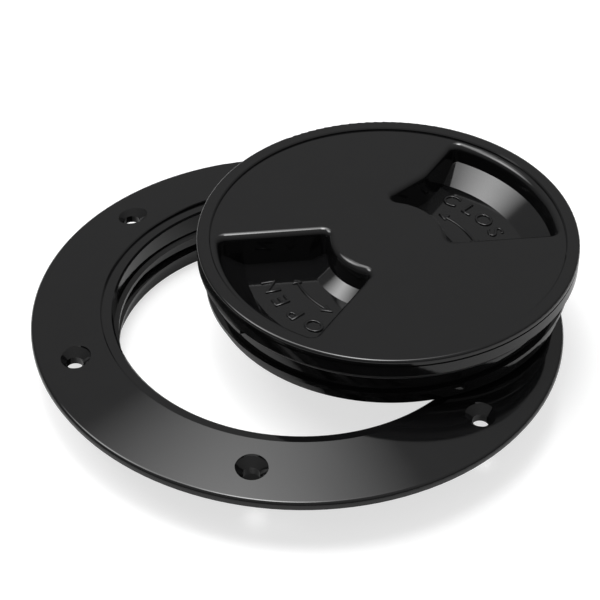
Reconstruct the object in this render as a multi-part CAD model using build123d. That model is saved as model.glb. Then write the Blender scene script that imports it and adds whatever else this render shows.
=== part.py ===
from build123d import *
from math import cos, radians, sin, tan
import os

# Deck inspection plate: a screw-out access hatch for a boat's deck or bulkhead.
# Millimetres. Origin on the neck's axis in the plane of the deck, under the flange. +Z points
# out of the deck and +X runs through one of the screw holes.
# The lid is unscrewed and lies on the flange, across one side of the opening.

# Flange, from the seat's wall out to its edge
flange_width = 18.5
edge_height = 2.4
edge_round = 1.1
foot_setback = 0.45
foot_height = 0.9
crown_rise = 3.2

# Seat and neck
bore_r = 48.4
seat_width = 3.1
seat_depth = 0.8
neck_wall = 3.2
neck_drop = 12.4
end_chamfer = 0.5
arris = 0.3

# Screw holes, countersunk, on one circle set in from the flange's edge
screw_count = 6
screw_inset = 9.5
screw_hole_r = 2.2
countersink_r = 4.2
countersink_angle = 90.0

# Hollow under the flange, left solid round each screw hole
relief_depth = 1.6
relief_inner_land = 2.8
relief_outer_land = 5.5
boss_wall = 3.2

# Lid, measured down from the top of its rim
rim_clearance = 1.5
rim_height = 5.3
rim_round = 0.8
rim_lip = 1.5
rim_groove_width = 0.5
rim_groove_depth = 0.4
rim_band = 3.6
disc_drop = 0.7
plate_thickness = 2.4
lid_height = 17.3
skirt_wall = 2.5

# Finger pockets, opposite each other, measured down from the disc
pocket_count = 2
pocket_depth = 9.2
pocket_hub_r = 15.3
pocket_land = 0.1
pocket_half_angle = 26.5
pocket_side_offset = 3.9
pocket_draft = 5.0
pocket_corner_r = 2.0
pocket_edge_round = 2.0
pocket_flare = 8.0
pocket_flare_run = 24.0
pocket_flare_r = 9.0
pocket_hub_ramp_run = 4.4
pocket_outer_ramp_run = 6.8
pocket_ramp_angle = 32.0
pocket_wall = 2.0

# Mating coarse thread, right-handed, one start
thread_pitch = 4.8
thread_height = 1.25
thread_base = 2.3
thread_crest = 1.1
thread_clearance = 0.4
thread_bury = 0.3
ring_thread_turns = 2.0
ring_thread_low_drop = 9.3
ring_thread_angle = 315.0
lid_thread_low_rise = 1.6
lid_thread_seal_gap = 0.25
lid_thread_end_angle = 184.8

# Sealing ring, of a round section drawn with flats
seal_section_r = 1.0
seal_section_flats = 8
seal_clearance = 0.05

# Where the lid lies on the flange
lid_shift = 24.9
lid_heading = 2.4
lid_tip = 1.4
lid_gap = 0.05
pocket_heading = 13.2

# Sizes that follow from the ones above
crown_z = edge_height + crown_rise
seat_r = bore_r + seat_width
seat_z = crown_z - seat_depth
neck_r = bore_r + neck_wall
flange_r = seat_r + flange_width
screw_circle_r = flange_r - screw_inset
rim_r = seat_r - rim_clearance
disc_r = rim_r - rim_band
pocket_mouth_r = disc_r - pocket_edge_round - pocket_land
skirt_r = bore_r - thread_clearance - thread_height
skirt_inner_r = skirt_r - skirt_wall
seal_low = rim_height + 2 * (seal_clearance + seal_section_r)


def profile(points):
    """Half section in the XZ plane, from (radius, height) points."""
    return make_face(Polyline([(r, 0, z) for r, z in points], close=True))


def corners(section, *points):
    """Corners of a half section at these (radius, height) points."""
    near = 0.01
    places = [Vector(r, 0, z) for r, z in points]
    return [
        corner
        for corner in section.vertices()
        if any(abs(Vector(corner) - place) < near for place in places)
    ]


def turned(points):
    """Solid of revolution about Z, from (radius, height) points."""
    return revolve(profile(points), Axis.Z)


def level_edges(solid, height):
    """Edges that lie in one level plane."""
    near = 0.01
    box_of = {edge: edge.bounding_box() for edge in solid.edges()}
    return [
        edge
        for edge, box in box_of.items()
        if abs(box.min.Z - height) < near and abs(box.max.Z - height) < near
    ]


def on_circle(edge, radius):
    """Whether an edge is part of a circle of this radius."""
    return edge.geom_type == GeomType.CIRCLE and abs(edge.radius - radius) < 0.01


def thread_ridge(root_r, crest_r, low_z, turns, low_angle):
    """Helical ridge of trapezoid section, standing off a wall from root_r to crest_r."""
    path = Helix(pitch=thread_pitch, height=thread_pitch * turns, radius=root_r)
    base, crest = thread_base / 2, thread_crest / 2
    rise = crest_r - root_r
    section = Polyline((0, -base), (rise, -crest), (rise, crest), (0, base), close=True)
    start = Plane(origin=path @ 0, x_dir=(1, 0, 0), z_dir=path % 0)
    ridge = sweep(start * make_face(section), path=path, is_frenet=True)
    return Pos(0, 0, low_z) * Rot(0, 0, low_angle) * ridge


def crown_height(radius):
    """Height of the flange's crown above the deck at a radius."""
    share = (flange_r - radius) / (flange_r - seat_r)
    return edge_height + crown_rise * share


def flange_and_neck():
    """Turned body of the mounting ring, before its holes and thread."""
    section = profile(
        [
            (flange_r, edge_height),
            (seat_r, crown_z),
            (seat_r, seat_z),
            (bore_r, seat_z),
            (bore_r, -neck_drop),
            (neck_r, -neck_drop),
            (neck_r, 0),
            (flange_r - foot_setback, 0),
            (flange_r - foot_setback, foot_height),
            (flange_r, foot_height),
        ]
    )
    section = fillet(corners(section, (flange_r, edge_height)), edge_round)
    section = chamfer(corners(section, (seat_r, crown_z)), arris)
    ends = corners(section, (bore_r, seat_z), (bore_r, -neck_drop), (neck_r, -neck_drop))
    return revolve(chamfer(ends, end_chamfer), Axis.Z)


def screw_places():
    """One place for each screw, evenly round the screw circle."""
    step = 360.0 / screw_count
    return [Rot(0, 0, step * i) * Pos(screw_circle_r, 0, 0) for i in range(screw_count)]


def under_flange_relief():
    """Shallow ring-shaped hollow under the flange, with the screw bosses left standing."""
    middle = relief_depth / 2
    inner_r = neck_r + relief_inner_land
    outer_r = flange_r - relief_outer_land
    hollow = Pos(0, 0, middle) * (
        Cylinder(outer_r, relief_depth) - Cylinder(inner_r, relief_depth)
    )
    boss = Pos(0, 0, middle) * Cylinder(screw_hole_r + boss_wall, relief_depth)
    for place in screw_places():
        hollow -= place * boss
    return hollow


def screw_hole():
    """Clearance hole with its countersink, opening at the crown of the flange."""
    surface_z = crown_height(screw_circle_r)
    sink = (countersink_r - screw_hole_r) / tan(radians(countersink_angle / 2))
    return turned(
        [
            (0, -edge_height),
            (screw_hole_r, -edge_height),
            (screw_hole_r, surface_z - sink),
            (countersink_r, surface_z),
            (countersink_r, crown_z + edge_height),
            (0, crown_z + edge_height),
        ]
    )


def mounting_ring():
    ring = flange_and_neck() - under_flange_relief()
    hole = screw_hole()
    for place in screw_places():
        ring -= place * hole
    return ring + thread_ridge(
        bore_r + thread_bury,
        bore_r - thread_height,
        -ring_thread_low_drop,
        ring_thread_turns,
        ring_thread_angle,
    )


def lid_shell():
    """Turned body of the lid: rim, sunk disc and skirt, open underneath."""
    groove_low = rim_lip + rim_groove_width
    groove_r = rim_r - rim_groove_depth
    plate_under = disc_drop + plate_thickness
    section = profile(
        [
            (0, -disc_drop),
            (disc_r, -disc_drop),
            (disc_r, 0),
            (rim_r, 0),
            (rim_r, -rim_lip),
            (groove_r, -rim_lip),
            (groove_r, -groove_low),
            (rim_r, -groove_low),
            (rim_r, -rim_height),
            (skirt_r, -rim_height),
            (skirt_r, -lid_height),
            (skirt_inner_r, -lid_height),
            (skirt_inner_r, -plate_under),
            (0, -plate_under),
        ]
    )
    section = fillet(corners(section, (rim_r, 0)), rim_round)
    section = chamfer(corners(section, (rim_r, -rim_height), (disc_r, 0)), arris)
    return revolve(chamfer(corners(section, (skirt_r, -lid_height)), end_chamfer), Axis.Z)


def pocket_outline(flare):
    """Plan of a finger pocket towards +X: a sector with rounded corners, one side flared."""
    slope = tan(radians(pocket_half_angle))
    near = pocket_side_offset / cos(radians(pocket_half_angle))
    far = near + flange_r * slope
    bend = (pocket_flare_run, near + pocket_flare_run * slope)
    sides = [(0, -near), (flange_r, -far), (flange_r, far), bend, (0, near + flare)]
    plan = make_face(Polyline(sides, close=True))
    if flare:
        plan = fillet(plan.vertices().sort_by_distance(bend)[0], pocket_flare_r)
    plan &= Circle(pocket_mouth_r) - Circle(pocket_hub_r)
    ends = [
        corner
        for corner in plan.vertices()
        if min(abs(abs(Vector(corner)) - r) for r in (pocket_hub_r, pocket_mouth_r)) < arris
    ]
    return fillet(ends, pocket_corner_r)


def pocket_form(grow, flare):
    """A finger pocket with drafted walls and a ramp up to its hub and to its outer wall."""
    deep = pocket_depth + grow
    plan = pocket_outline(flare)
    if grow:
        plan = offset(plan, grow)
    well = extrude(plan, amount=deep, dir=(0, 0, -1))
    walls = [face for face in well.faces() if abs(face.normal_at().Z) < 0.5]
    well = draft(walls, Plane.XY, -pocket_draft)
    slope = tan(radians(pocket_ramp_angle))
    floor_in = pocket_hub_r + pocket_hub_ramp_run - grow
    floor_out = pocket_mouth_r - pocket_outer_ramp_run + grow
    ramps = turned(
        [
            (floor_in, -deep),
            (floor_out, -deep),
            (floor_out + flange_r, flange_r * slope - deep),
            (0, flange_r * slope - deep),
            (0, floor_in * slope - deep),
        ]
    )
    return well & ramps


def pockets(grow):
    """Every finger pocket, evenly round the lid; the first one's side is flared at the hub."""
    step = 360.0 / pocket_count
    flares = [pocket_flare] + [0] * (pocket_count - 1)
    return [Rot(0, 0, step * i) * pocket_form(grow, flare) for i, flare in enumerate(flares)]


def screw_lid():
    lid = lid_shell()
    top = disc_drop + plate_thickness / 2
    inside = Pos(0, 0, -(top + lid_height) / 2) * Cylinder(skirt_r - skirt_wall / 2, lid_height - top)
    sunk = Pos(0, 0, -disc_drop)
    for tub in pockets(pocket_wall):
        lid += (sunk * tub) & inside
    for pocket in pockets(0):
        lid -= sunk * pocket
    mouth = [edge for edge in level_edges(lid, -disc_drop) if not on_circle(edge, disc_r)]
    lid = fillet(mouth, pocket_edge_round)
    low_z = lid_thread_low_rise - lid_height
    high_z = -seal_low - lid_thread_seal_gap - thread_base / 2
    turns = (high_z - low_z) / thread_pitch
    return lid + thread_ridge(
        skirt_r - thread_bury,
        skirt_r + thread_height,
        low_z,
        turns,
        lid_thread_end_angle - 360.0 * turns,
    )


def sealing_ring():
    """Rubber ring round the top of the skirt, under the rim."""
    ring_r = skirt_r + seal_clearance + seal_section_r
    low = -rim_height - seal_clearance - seal_section_r
    flats = RegularPolygon(seal_section_r, seal_section_flats, major_radius=False)
    turn = 180.0 / seal_section_flats
    return revolve(Pos(ring_r, 0, low) * Rot(90, 0, 0) * Rot(0, 0, turn) * flats, Axis.Z)


def lid_place():
    """Where the lid's own frame lies: its skirt rests on the crown's inner edge, tipped inwards."""
    tip = radians(lid_tip)
    foot_r = skirt_r - end_chamfer
    foot_shift = lid_shift + lid_height * sin(tip)
    touch = (seat_r**2 - foot_shift**2 - foot_r**2) / (2 * foot_shift)
    top_z = crown_z + lid_gap + lid_height * cos(tip) - touch * sin(tip)
    across = Rot(0, 0, lid_heading) * Pos(lid_shift, 0, top_z) * Rot(0, -lid_tip, 0)
    return across * Rot(0, 0, pocket_heading - lid_heading)


def main():
    os.makedirs("parts", exist_ok=True)
    place = lid_place()
    export_step(mounting_ring(), "parts/mounting_ring.step")
    export_step(place * screw_lid(), "parts/screw_lid.step")
    export_step(place * sealing_ring(), "parts/sealing_ring.step")


main()
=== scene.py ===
from math import cos, pi, radians, sin, tan

import bmesh
import bpy
from mathutils import Matrix, Vector


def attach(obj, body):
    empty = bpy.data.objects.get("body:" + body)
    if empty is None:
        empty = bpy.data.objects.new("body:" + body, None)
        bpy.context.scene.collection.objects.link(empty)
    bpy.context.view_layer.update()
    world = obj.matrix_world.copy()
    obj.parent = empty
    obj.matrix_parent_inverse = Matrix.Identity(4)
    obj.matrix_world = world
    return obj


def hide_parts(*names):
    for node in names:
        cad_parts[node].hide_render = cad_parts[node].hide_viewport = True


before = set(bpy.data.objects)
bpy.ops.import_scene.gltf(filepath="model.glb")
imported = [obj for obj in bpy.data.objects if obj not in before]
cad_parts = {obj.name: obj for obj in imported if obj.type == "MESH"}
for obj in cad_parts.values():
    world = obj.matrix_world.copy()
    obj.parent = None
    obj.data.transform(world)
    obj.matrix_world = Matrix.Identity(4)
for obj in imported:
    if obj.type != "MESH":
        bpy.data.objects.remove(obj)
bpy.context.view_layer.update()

# Mounting ring: one moulding in glossy black plastic. A low conical flange with countersunk
# screw holes, a stepped seat round the opening, and a neck with a coarse thread inside it.
# The polished mould leaves a hard gloss, with a faint waviness where the plastic shrank.
# Below are also the helpers that the other pieces share.

MM = 0.001


class Sum:
    """A socket that can be used in a sum: each operator adds a Math node."""

    def __init__(self, tree, out):
        self.tree, self.out = tree, out

    def maths(self, operation, *values):
        step = self.tree.nodes.new("ShaderNodeMath")
        step.operation = operation
        for place, value in zip(step.inputs, values):
            if isinstance(value, Sum):
                self.tree.links.new(value.out, place)
            else:
                place.default_value = value
        return Sum(self.tree, step.outputs[0])

    def __add__(self, other):
        return self.maths("ADD", self, other)

    def __radd__(self, other):
        return self.maths("ADD", other, self)

    def __sub__(self, other):
        return self.maths("SUBTRACT", self, other)

    def __rsub__(self, other):
        return self.maths("SUBTRACT", other, self)

    def __mul__(self, other):
        return self.maths("MULTIPLY", self, other)

    def __rmul__(self, other):
        return self.maths("MULTIPLY", other, self)

    def at_least(self, lowest):
        return self.maths("MAXIMUM", self, lowest)


class Finish:
    """The nodes of a material, a lamp or the world, put together one by one."""

    def __init__(self, owner):
        owner.use_nodes = True
        self.owner, self.tree = owner, owner.node_tree
        self.tree.nodes.clear()

    def node(self, kind, settings, outlet, **values):
        """One node: its settings are set first, then the values or links of its sockets."""
        made = self.tree.nodes.new(kind)
        for name, value in settings.items():
            setattr(made, name, value)
        for name, value in values.items():
            place = made.inputs[name.replace("_", " ")]
            if isinstance(value, Sum):
                self.tree.links.new(value.out, place)
            else:
                place.default_value = value
        return Sum(self.tree, made.outputs[outlet]) if outlet else made

    def noise(self, scale, detail, roughness):
        """Noise from 0 to 1 in the piece's own space."""
        place = self.node("ShaderNodeTexCoord", {}, "Object")
        sizes = {"Scale": scale, "Detail": detail, "Roughness": roughness}
        return self.node("ShaderNodeTexNoise", {}, "Fac", Vector=place, **sizes)

    def surface(self, shader, kind="ShaderNodeOutputMaterial"):
        self.node(kind, {}, None, Surface=shader)
        return self.owner


tint_spread = 0.18
haze_spread = 0.05


def moulded_plastic(name, shade, gloss, grain):
    """Black plastic from a polished mould: even colour, slow waviness, faint handling haze."""
    mix = Finish(bpy.data.materials.new(name))
    waves = mix.noise(scale=38.0, detail=1.5, roughness=0.4)
    haze = mix.noise(scale=160.0, detail=5.0, roughness=0.62)
    specks = mix.noise(scale=2600.0, detail=2.0, roughness=0.5)
    tint = mix.node("ShaderNodeValToRGB", {}, None, Fac=haze)
    tint.color_ramp.elements[0].color = (*[part * (1 - tint_spread) for part in shade], 1)
    tint.color_ramp.elements[1].color = (*[part * (1 + tint_spread) for part in shade], 1)
    height = waves + specks * grain
    relief = mix.node(
        "ShaderNodeBump", {}, "Normal", Height=height, Strength=0.2, Distance=0.25 * MM
    )
    shader = mix.node(
        "ShaderNodeBsdfPrincipled",
        {},
        "BSDF",
        Base_Color=Sum(mix.tree, tint.outputs["Color"]),
        Roughness=gloss + (haze - 0.5) * haze_spread,
        Normal=relief,
    )
    return mix.surface(shader)


gloss_black = moulded_plastic("black_moulded_gloss", (0.004, 0.004, 0.0042), 0.07, 0.02)


weld_distance = 0.002 * MM
sharpest_smooth = radians(28)


def smoothed_copy(node, name):
    """A welded, smooth-shaded copy of a CAD node, with its real corners kept crisp."""
    shape = bmesh.new()
    shape.from_mesh(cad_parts[node].data)
    bmesh.ops.remove_doubles(shape, verts=shape.verts, dist=weld_distance)
    for face in shape.faces:
        face.smooth = True
    for edge in shape.edges:
        edge.smooth = len(edge.link_faces) == 2 and edge.calc_face_angle(0.0) < sharpest_smooth
    mesh = bpy.data.meshes.new(name)
    shape.to_mesh(mesh)
    shape.free()
    piece = bpy.data.objects.new(name, mesh)
    bpy.context.scene.collection.objects.link(piece)
    even = piece.modifiers.new("even_shading", "WEIGHTED_NORMAL")
    even.mode = "FACE_AREA_WITH_ANGLE"
    even.keep_sharp = True
    return piece


round_tolerance = 0.02


def true_round(piece, place, centre, radius):
    """Gives the corners on a round edge about a piece's own axis the normals of that round."""
    view = bpy.context.evaluated_depsgraph_get()
    normals = [normal.vector.copy() for normal in piece.evaluated_get(view).data.corner_normals]
    for loop in piece.data.loops:
        own = place.inverted() @ piece.data.vertices[loop.vertex_index].co
        across = Vector((own.xy.length, own.z)) / MM - Vector(centre)
        if abs(across.length - radius) < round_tolerance and min(across) > -round_tolerance / 2:
            around = own.xy.normalized() * across.x
            normals[loop.index] = place.to_3x3() @ Vector((*around, across.y)).normalized()
    piece.modifiers.clear()
    piece.data.normals_split_custom_set(normals)


def dress(piece, material):
    piece.data.materials.clear()
    piece.data.materials.append(material)
    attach(piece, "root")


ring = smoothed_copy("mounting_ring", "ring_moulding")
flange_radius, edge_height, edge_round, crown_slope = 70.0, 2.4, 1.1, radians(9.82)
edge_centre = edge_height + edge_round * (tan(crown_slope) - 1 / cos(crown_slope))
true_round(ring, Matrix.Identity(4), (flange_radius - edge_round, edge_centre), edge_round)
dress(ring, gloss_black)
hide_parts("mounting_ring")

# Screw-out lid: a second moulding of the same plastic. A thin rim band stands round a sunk disc,
# two finger pockets are let into it, and a skirt with a coarse thread hangs below. It lies
# unscrewed across one side of the ring.

skirt_radius = 46.75
lid_shift, lid_heading, lid_tip = 24.9, 2.4, 1.4
seat_radius, crown_top, lid_gap, lid_height, foot_chamfer = 51.5, 5.6, 0.05, 17.3, 0.5
pocket_heading = 13.2

tip = radians(lid_tip)
foot_radius = skirt_radius - foot_chamfer
foot_shift = lid_shift + lid_height * sin(tip)
touch = (seat_radius**2 - foot_shift**2 - foot_radius**2) / (2 * foot_shift)
top_height = crown_top + lid_gap + lid_height * cos(tip) - touch * sin(tip)
lid_place = (
    Matrix.Rotation(radians(lid_heading), 4, "Z")
    @ Matrix.Translation(Vector((lid_shift, 0, top_height)) * MM)
    @ Matrix.Rotation(-tip, 4, "Y")
    @ Matrix.Rotation(radians(pocket_heading - lid_heading), 4, "Z")
)

lid = smoothed_copy("screw_lid", "lid_moulding")
rim_radius, rim_round = 50.0, 0.8
true_round(lid, lid_place, (rim_radius - rim_round, -rim_round), rim_round)
dress(lid, gloss_black)
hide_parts("screw_lid")

# Sealing ring: a cord of black rubber, moulded as a ring and stretched over the lid's skirt
# under the rim. Its section is round.

seal_section = 1.0
seal_clearance = 0.05
rim_height = 5.3


def settle(shape, name, place):
    """Makes a piece of a bmesh given in millimetres, with its place in its mesh."""
    bmesh.ops.scale(shape, vec=(MM, MM, MM), verts=shape.verts)
    bmesh.ops.transform(shape, matrix=place, verts=shape.verts)
    for face in shape.faces:
        face.smooth = True
    mesh = bpy.data.meshes.new(name)
    shape.to_mesh(mesh)
    shape.free()
    piece = bpy.data.objects.new(name, mesh)
    bpy.context.scene.collection.objects.link(piece)
    return piece


def satin_rubber():
    mix = Finish(bpy.data.materials.new("black_rubber_satin"))
    bloom = mix.noise(scale=420.0, detail=4.0, roughness=0.6)
    relief = mix.node("ShaderNodeBump", {}, "Normal", Height=bloom, Strength=0.3, Distance=0.1 * MM)
    shader = mix.node(
        "ShaderNodeBsdfPrincipled",
        {},
        "BSDF",
        Base_Color=(0.012, 0.012, 0.012, 1),
        Roughness=0.42 + bloom * 0.2,
        Normal=relief,
    )
    return mix.surface(shader)


shape = bmesh.new()
bmesh.ops.create_circle(shape, cap_ends=False, segments=24, radius=seal_section)
bmesh.ops.rotate(shape, verts=shape.verts, matrix=Matrix.Rotation(pi / 2, 3, "X"))
seal_standoff = seal_clearance + seal_section
seal_middle = (skirt_radius + seal_standoff, 0, -rim_height - seal_standoff)
bmesh.ops.translate(shape, verts=shape.verts, vec=seal_middle)
bmesh.ops.spin(
    shape,
    geom=list(shape.verts) + list(shape.edges),
    cent=(0, 0, 0),
    axis=(0, 0, 1),
    angle=2 * pi,
    steps=256,
    use_merge=True,
)
bmesh.ops.recalc_face_normals(shape, faces=shape.faces)
seal = settle(shape, "sealing_ring_rubber", lid_place)
dress(seal, satin_rubber())
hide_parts("sealing_ring")

# Words and arrows: raised on the floors of the finger pockets by the same mould, to show which
# way the lid turns. Thin plain capitals stand on a circle with their tops to the rim, and
# inside them a curved arrow with a head at each end.

pocket_floor = -9.9
letter_circle = 32.2
letter_height = 4.4
letter_spread = 1.18
letter_rise = 0.4
letter_round = 0.22
letter_thin = 0.17
capital_share = 0.73


def on_floor(heading, radius):
    return Vector((radius * cos(radians(heading)), radius * sin(radians(heading)), pocket_floor))


def raised_letter(letter, heading, name):
    """One wide capital, its foot towards the lid's middle, at a heading on the lid."""
    line = bpy.data.curves.new(name, "FONT")
    line.body = letter
    line.align_x = "CENTER"
    line.size = letter_height / capital_share
    line.extrude = letter_rise - letter_round
    line.bevel_depth = letter_round
    line.bevel_resolution = 4
    line.offset = -letter_thin
    drawn = bpy.data.objects.new(name, line)
    bpy.context.scene.collection.objects.link(drawn)
    bpy.context.view_layer.update()
    mesh = bpy.data.meshes.new_from_object(drawn)
    bpy.data.objects.remove(drawn)
    shape = bmesh.new()
    shape.from_mesh(mesh)
    bpy.data.meshes.remove(mesh)
    bmesh.ops.remove_doubles(shape, verts=shape.verts, dist=0.001)
    bmesh.ops.translate(shape, verts=shape.verts, vec=(0, -letter_height / 2, 0))
    bmesh.ops.scale(shape, verts=shape.verts, vec=(letter_spread, 1, 1))
    turn = Matrix.Rotation(radians(heading - 90), 4, "Z")
    place = Matrix.Translation(on_floor(heading, letter_circle))
    bmesh.ops.transform(shape, matrix=place @ turn, verts=shape.verts)
    return shape


words = {
    "open": (180.0, [("O", 20.2), ("P", 8.4), ("E", -3.0), ("N", -14.6)]),
    "close": (0.0, [("C", 22.6), ("L", 11.4), ("O", 1.2), ("S", -9.4), ("E", -19.6)]),
}
for word, (middle, letters) in words.items():
    for place, (letter, heading) in enumerate(letters):
        name = f"letter_{word}_{place + 1}_{letter}"
        piece = settle(raised_letter(letter, middle + heading, name), name, lid_place)
        dress(piece, gloss_black)

arrow_circle = 25.0
arrow_from, arrow_to = -19.0, 22.0
arrow_line = 0.3
arrow_rise = 0.4
arrow_edge = 0.22
arrow_head_long = 3.0
arrow_head_wide = 1.35
arrow_steps = 48
crisp_edge = radians(45)


def arrow_head(shape, heading, half_turn):
    """A low triangular head, its tip on the arrow's circle at a heading. It points the way the
    heading grows, or the other way after a half turn of 180 degrees."""
    made = bmesh.ops.create_circle(shape, cap_ends=True, segments=3, radius=1.0)["verts"]
    bmesh.ops.translate(shape, verts=made, vec=(0, -1, 0))
    across, along = arrow_head_wide / sin(pi / 3), arrow_head_long / 1.5
    bmesh.ops.scale(shape, verts=made, vec=(across, along, 1))
    turn = radians(heading + half_turn)
    bmesh.ops.rotate(shape, verts=made, matrix=Matrix.Rotation(turn, 3, "Z"))
    foot = on_floor(heading, arrow_circle) - Vector((0, 0, arrow_rise))
    bmesh.ops.translate(shape, verts=made, vec=foot)
    raised = bmesh.ops.extrude_face_region(shape, geom=[made[0].link_faces[0]])["geom"]
    top = [part for part in raised if isinstance(part, bmesh.types.BMVert)]
    bmesh.ops.translate(shape, verts=top, vec=(0, 0, 2 * arrow_rise))


for word, (middle, letters) in words.items():
    shape = bmesh.new()
    line = bmesh.ops.create_grid(shape, x_segments=1, y_segments=1, size=1.0)["verts"]
    bmesh.ops.rotate(shape, verts=line, matrix=Matrix.Rotation(pi / 2, 3, "X"))
    bmesh.ops.scale(shape, verts=line, vec=(arrow_line, 1, arrow_rise))
    bmesh.ops.translate(shape, verts=line, vec=(arrow_circle, 0, pocket_floor))
    setback = arrow_head_long / arrow_circle / 2
    start, end = radians(middle + arrow_from) + setback, radians(middle + arrow_to) - setback
    bmesh.ops.rotate(shape, verts=line, matrix=Matrix.Rotation(start, 3, "Z"))
    bmesh.ops.spin(
        shape,
        geom=list(shape.faces),
        cent=(0, 0, 0),
        axis=(0, 0, 1),
        angle=end - start,
        steps=arrow_steps,
    )
    arrow_head(shape, middle + arrow_from, 180)
    arrow_head(shape, middle + arrow_to, 0)
    bmesh.ops.recalc_face_normals(shape, faces=shape.faces)
    crisp = [edge for edge in shape.edges if edge.calc_face_angle(0.0) > crisp_edge]
    bmesh.ops.bevel(
        shape, geom=crisp, offset=arrow_edge, segments=3, profile=0.5, affect="EDGES", material=-1
    )
    piece = settle(shape, f"arrow_{word}", lid_place)
    dress(piece, gloss_black)

# Studio: a white sheet under the ring, lit softly from above and from the left. The object stands
# on the lower end of the ring's neck, so the flange casts a pale shadow. The sheet glows a little
# for the camera, so that it shows white, and less so where plastic mirrors it.

floor_level = -12.4 * MM
floor_reach = 3.0
sheet_tone = 0.42
sheet_glow = 0.68
mirrored_share = 0.3


def white_sheet():
    mix = Finish(bpy.data.materials.new("white_sheet"))
    ray = mix.node("ShaderNodeLightPath", {}, None)
    glossy = Sum(mix.tree, ray.outputs["Is Glossy Ray"])
    mirrored = glossy + Sum(mix.tree, ray.outputs["Is Transmission Ray"])
    seen = Sum(mix.tree, ray.outputs["Is Camera Ray"]) + mirrored * mirrored_share
    paper = mix.node("ShaderNodeBsdfDiffuse", {}, "BSDF", Color=(*[sheet_tone] * 3, 1))
    glow = mix.node("ShaderNodeEmission", {}, "Emission", Strength=seen * sheet_glow)
    both = mix.node("ShaderNodeAddShader", {}, None)
    mix.tree.links.new(paper.out, both.inputs[0])
    mix.tree.links.new(glow.out, both.inputs[1])
    return mix.surface(Sum(mix.tree, both.outputs[0]))


shape = bmesh.new()
bmesh.ops.create_grid(shape, x_segments=1, y_segments=1, size=floor_reach)
bmesh.ops.translate(shape, verts=shape.verts, vec=(0, 0, floor_level))
mesh = bpy.data.meshes.new("floor")
shape.to_mesh(mesh)
shape.free()
floor = bpy.data.objects.new("floor", mesh)
bpy.context.scene.collection.objects.link(floor)
floor.data.materials.append(white_sheet())


lamp_reach = 1.3


def softbox(name, towards, spread, glare, core=0.0):
    """A round lamp that fades to its edge: glare is the brightness it fades from, and core adds
    to its middle. It stands in a direction and spreads by an angle, seen from the object."""
    lamp = bpy.data.lights.new(name, "AREA")
    lamp.shape = "SQUARE"
    lamp.size = 2 * lamp_reach * tan(radians(spread))
    lamp.energy = pi * lamp.size**2
    mix = Finish(lamp)
    over = mix.node("ShaderNodeNewGeometry", {}, "Parametric")
    over = mix.node("ShaderNodeMapping", {}, "Vector", Vector=over, Location=(-0.5, -0.5, 0))
    out = mix.node("ShaderNodeVectorMath", {"operation": "LENGTH"}, "Value", Vector=over)
    level = (1.0 - out * 2.0).at_least(0.0)
    strength = level * (glare + level * level * core)
    shine = mix.node("ShaderNodeEmission", {}, "Emission", Strength=strength)
    mix.surface(shine, "ShaderNodeOutputLight")
    made = bpy.data.objects.new(name, lamp)
    bpy.context.scene.collection.objects.link(made)
    made.location = towards.normalized() * lamp_reach
    made.rotation_mode = "QUATERNION"
    made.rotation_quaternion = towards.to_track_quat("Z", "Y")


ahead = Vector((0.3469, 0.9379, 0))
aside = Vector((0.9379, -0.3469, 0))
up = Vector((0, 0, 1))
over_front = aside * -0.14 + ahead * 0.178 + up * 0.974
softbox("overhead_softbox", over_front, spread=25.5, glare=5.0, core=6.0)
softbox("key_lamp", aside * -0.09 + ahead * -0.02 + up, spread=13.0, glare=18.0)
softbox("left_softbox", aside * -0.6 + ahead * 0.12 + up * 0.79, spread=17.5, glare=9.5)

air = Finish(bpy.data.worlds.new("studio_air"))
sky_low, sky_rise = 0.08, 0.45
direction = air.node("ShaderNodeTexCoord", {}, "Generated")
height = air.node("ShaderNodeSeparateXYZ", {}, "Z", Vector=direction)
glow = (height * sky_rise + sky_low).at_least(sky_low)
sky = air.node("ShaderNodeBackground", {}, "Background", Color=(1, 1, 1, 1), Strength=glow)
bpy.context.scene.world = air.surface(sky, "ShaderNodeOutputWorld")

camera_place = Vector((-0.1518, -0.4119, 0.3761))
camera_pitch = 40.02
camera_roll = 1.49
focal_share = 3.644833
lens = bpy.data.cameras.new("camera")
lens.sensor_width = 36.0
lens.lens = focal_share * lens.sensor_width
camera = bpy.data.objects.new("camera", lens)
bpy.context.scene.collection.objects.link(camera)
sight = ahead * cos(radians(camera_pitch)) - up * sin(radians(camera_pitch))
camera.rotation_mode = "QUATERNION"
level = sight.to_track_quat("-Z", "Y")
camera.rotation_quaternion = level @ Matrix.Rotation(radians(camera_roll), 3, "Z").to_quaternion()
camera.location = camera_place
lens.clip_start, lens.clip_end = 0.01, 20
bpy.context.scene.camera = camera
bpy.context.scene.view_settings.view_transform = "Standard"
